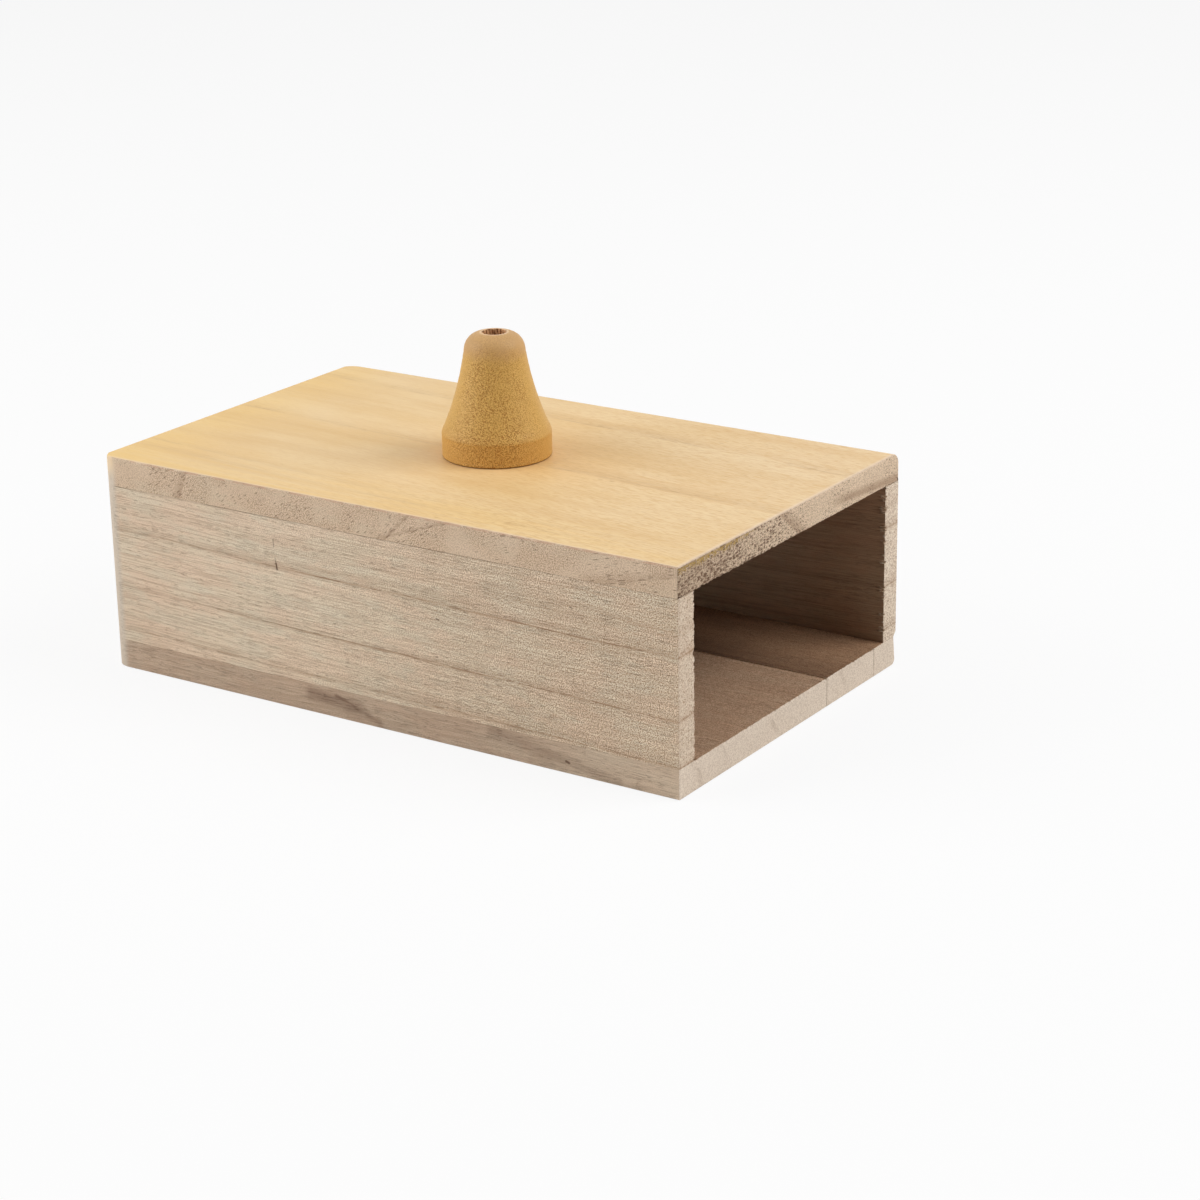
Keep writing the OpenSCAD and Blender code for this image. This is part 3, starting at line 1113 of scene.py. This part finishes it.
def top_board_material():
    """Stained on its top face, bare on its edges and underside."""
    wood = Wood("top_board_wood")
    grain = grain_space(wood, (0, 0, TOP_SLOPE), wander=1)
    ends = cut_ends(wood)
    rings = streak_mask(wood, grain, TOP_RINGS)
    bare, height, pits = top_bare_wood(wood, grain, rings, ends)
    stain, vessels = stain_colour(wood, grain, rings)
    edge_gap = wood.math("MINIMUM", wood.minus(HALF_LENGTH, wood.x), wood.plus(wood.y, HALF_WIDTH))
    stain = wood.mix(wood.step(edge_gap, 1.1, 0.3, 0, 0.55), stain, STAIN_RUBBED)
    depth = wood.minus(BOX_HEIGHT, wood.z)
    wrapped = wood.times(faces(wood, 0, -0.03, -0.12), wood.step(depth, 6, 0.5, 0, 0.8))
    covered = wood.most(faces(wood, 2, 0.85, 0.97), wrapped)
    colour = wood.mix(covered, bare, stain)
    colour = wood.mix(stain_bleed(wood, depth, ends), colour, STAIN_BLEED)
    roughness = wood.minus(bare_roughness(wood, height), wood.times(covered, 0.2))
    relief = wood.blend(covered, wood.minus(height, pits), wood.less(vessels, 0.5))
    return wood.shade(colour, roughness, relief, BARE_RELIEF, STAIN_GLOSS)


# Peg's wood

PEG_BODY = paint(215, 171, 91)
PEG_FIGURE = paint(164, 108, 44)
PEG_GLINT = paint(238, 194, 112)
PEG_BAND = paint(211, 162, 84)
PEG_DOME = paint(206, 163, 108)
PEG_RIM = paint(236, 202, 160)
# Raw wood inside the socket, lightened as painted light on its far wall
PEG_SOCKET_RAW_AND_LIT = paint(238, 190, 140)
PEG_SPLINTER = paint(150, 98, 60)
# Dark line at the peg's foot: glue, with painted contact shade
PEG_FOOT_GLUE_AND_SHADE = paint(112, 72, 34)

# The side of the peg where its figure shows most
FIGURE_SIDE = (0.55, -0.83, 0)


def peg_figure(wood, radius, band, dome):
    """The peg's fine flecks, and how much they show."""
    flecks = wood.noise(wood.vector("MULTIPLY", wood.place, (3.9, 3.9, 4.3)), 1)
    side = wood.vector("DOT_PRODUCT", wood.place, FIGURE_SIDE)
    toward = wood.step(wood.math("DIVIDE", side, radius), 0.3, 0.95, 0.3, 1)
    patches = wood.step(wood.clouds(0.14), 0.35, 0.6, 0.6, 1)
    return flecks, wood.times(toward, patches, wood.less(dome, 0.7), wood.less(band, 0.15))


def peg_material():
    """Ochre stain over short broken figure, with a smooth dome, a raw socket lightened by painted light on
    its far wall, and a dark foot line of glue and painted shade.
    """
    wood = Wood("fork_peg_wood")
    height = wood.minus(wood.z, BOX_HEIGHT)
    radius = wood.vector("LENGTH", wood.vector("MULTIPLY", wood.place, (1, 1, 0)))
    level = wood.plus(height, wood.times(wood.clouds(0.3), 4))
    band = wood.step(level, BAND_HEIGHT + 5, BAND_HEIGHT + 1)
    dome = wood.step(level, PEG_HEIGHT - 4.5, PEG_HEIGHT + 0.5)
    flecks, strength = peg_figure(wood, radius, band, dome)
    shown = wood.times(wood.step(flecks, 0.51, 0.61), strength, 0.9)
    torn = wood.noise(wood.vector("MULTIPLY", wood.place, (2.4, 2.4, 0.8)), 2)
    splinters = wood.step(torn, 0.42, 0.58)
    bored = wood.step(radius, SOCKET_RADIUS + 0.2, SOCKET_RADIUS + 0.05)
    colour = wood.coats(
        PEG_BODY,
        (band, PEG_BAND),
        (dome, PEG_DOME),
        (shown, PEG_FIGURE),
        (wood.times(wood.step(flecks, 0.47, 0.36), strength, 0.85), PEG_GLINT),
        # dark foot line of glue and painted contact shade
        (wood.step(height, 0.45, 0.15, 0, 0.8), PEG_FOOT_GLUE_AND_SHADE),
        (wood.step(radius, SOCKET_RADIUS + 0.8, SOCKET_RADIUS + 0.3, 0, 0.8), PEG_RIM),
        # raw socket wall, lightened as painted light
        (bored, wood.mix(splinters, PEG_SOCKET_RAW_AND_LIT, PEG_SPLINTER)))
    relief = wood.less(wood.most(shown, wood.times(splinters, bored)), 0.8)
    roughness = wood.step(flecks, 0.3, 0.7, 0.46, 0.6)
    return wood.shade(colour, roughness, relief, PEG_RELIEF, PEG_GLOSS)


# Pieces

def add_piece(mesh, node, material):
    """Shows a dressed mesh in place of the solid that it stands for."""
    piece = show(mesh.name, mesh)
    mesh.materials.append(material)
    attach(piece, "root")
    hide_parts(node)


add_piece(top_board_mesh(), "top_board", top_board_material())
add_piece(front_wall_mesh(), "front_wall",
          wall_material("front_wall_wood", WALL, slope=-0.017, shift=0, inner_sign=1, marks=FRONT_MARKS))
add_piece(rear_wall_mesh(), "rear_wall",
          wall_material("rear_wall_wood", REAR, slope=0.02, shift=410, inner_sign=-1))
add_piece(end_wall_mesh(), "end_wall", end_wall_material())
add_piece(floor_front_mesh(), "floor_front_strip",
          floor_material("floor_front_wood", INNER_FLOOR_TONE_AND_SHADE, shift=0))
add_piece(floor_middle_mesh(), "floor_middle_strip",
          floor_material("floor_middle_wood", INNER_MIDDLE_TONE_AND_SHADE, shift=520))
add_piece(floor_rear_mesh(), "floor_rear_strip",
          floor_material("floor_rear_wood", INNER_STRIP_TONE_AND_SHADE, shift=780))
add_piece(peg_mesh(), "fork_peg", peg_material())


# Studio, in metres

FLOOR_SIZE = 6.0
FLOOR_GAP = 0.0002
FLOOR_WHITE = 0.9
BACKDROP_SHARE = 0.88
SKY_LIGHT = 0.15
LIGHT_AIM = Vector((0, 0, 0.03))


def seen_directly(graph):
    """1 for rays that come from the camera, or from it by way of gloss or glass."""
    camera = graph.node("ShaderNodeLightPath", {}, "Is Camera Ray")
    rays = camera.node.outputs
    return graph.most(graph.most(camera, rays["Is Glossy Ray"]), rays["Is Transmission Ray"])


def floor_look():
    """A pale floor that looks white from above and keeps a soft shadow."""
    material = bpy.data.materials.new("pale_floor")
    material.use_nodes = True
    material.node_tree.nodes.clear()
    graph = Graph(material.node_tree)
    pale = graph.node("ShaderNodeBsdfDiffuse", {"Color": (FLOOR_WHITE, FLOOR_WHITE, FLOOR_WHITE, 1)})
    white = graph.node("ShaderNodeEmission", {})
    share = graph.times(seen_directly(graph), BACKDROP_SHARE)
    graph.surface(graph.node("ShaderNodeMixShader", {0: share, 1: pale, 2: white}))
    return material


def add_floor():
    half = FLOOR_SIZE / 2
    mesh = bpy.data.meshes.new("floor")
    signs = ((-1, -1), (1, -1), (1, 1), (-1, 1))
    corners = [(x * half, y * half, -FLOOR_GAP) for x, y in signs]
    mesh.from_pydata(corners, [], [(0, 1, 2, 3)])
    mesh.materials.append(floor_look())
    floor = show("floor", mesh)


def add_sky():
    """A white surround that is bright only where it is looked at, and lights the object softly."""
    world = bpy.data.worlds.new("studio")
    bpy.context.scene.world = world
    world.use_nodes = True
    graph = Graph(world.node_tree)
    light = {"Value": seen_directly(graph), "To Min": SKY_LIGHT, "To Max": 1.0}
    background = graph.tree.nodes["Background"]
    background.inputs["Color"].default_value = (1, 1, 1, 1)
    graph.tree.links.new(graph.node("ShaderNodeMapRange", light), background.inputs["Strength"])


def add_softbox(name, place, width, height, brightness):
    """A rectangle of even light that faces the object."""
    light = bpy.data.lights.new(name, "AREA")
    light.shape = "RECTANGLE"
    light.size = width
    light.size_y = height
    light.energy = math.pi * width * height * brightness
    lamp = show(name, light)
    lamp.location = place
    lamp.rotation_euler = (LIGHT_AIM - Vector(place)).to_track_quat("-Z", "Y").to_euler()
    lamp.visible_camera = False


CAMERA_LENS = 89.845
CAMERA_AZIMUTH = math.radians(33.634)
CAMERA_ELEVATION = math.radians(19.416)
CAMERA_ROLL = math.radians(-0.905)
CAMERA_AIM = Vector((0.01987, 0.00928, 0.01569))
CAMERA_DISTANCE = 0.65569
CAMERA_NEAR = 0.01
CAMERA_FAR = 20.0


def add_camera():
    data = bpy.data.cameras.new("camera")
    data.lens = CAMERA_LENS
    data.clip_start = CAMERA_NEAR
    data.clip_end = CAMERA_FAR
    camera = show("camera", data)
    lean = Matrix.Rotation(math.pi / 2 - CAMERA_ELEVATION, 4, "X")
    turn = Matrix.Rotation(CAMERA_AZIMUTH, 4, "Z") @ lean
    back = turn @ Vector((0, 0, CAMERA_DISTANCE))
    roll = Matrix.Rotation(CAMERA_ROLL, 4, "Z")
    camera.matrix_world = Matrix.Translation(CAMERA_AIM + back) @ turn @ roll
    bpy.context.scene.camera = camera


add_floor()
add_sky()
add_softbox("overhead", place=(-0.1, 0.15, 1.3), width=1.4, height=1.4, brightness=0.7)
add_softbox("left", place=(-0.75, -0.6, 0.5), width=1.0, height=0.9, brightness=2.6)
add_softbox("right", place=(0.8, 0.4, 0.8), width=0.9, height=0.8, brightness=3.8)
add_camera()
bpy.context.scene.view_settings.view_transform = "Standard"
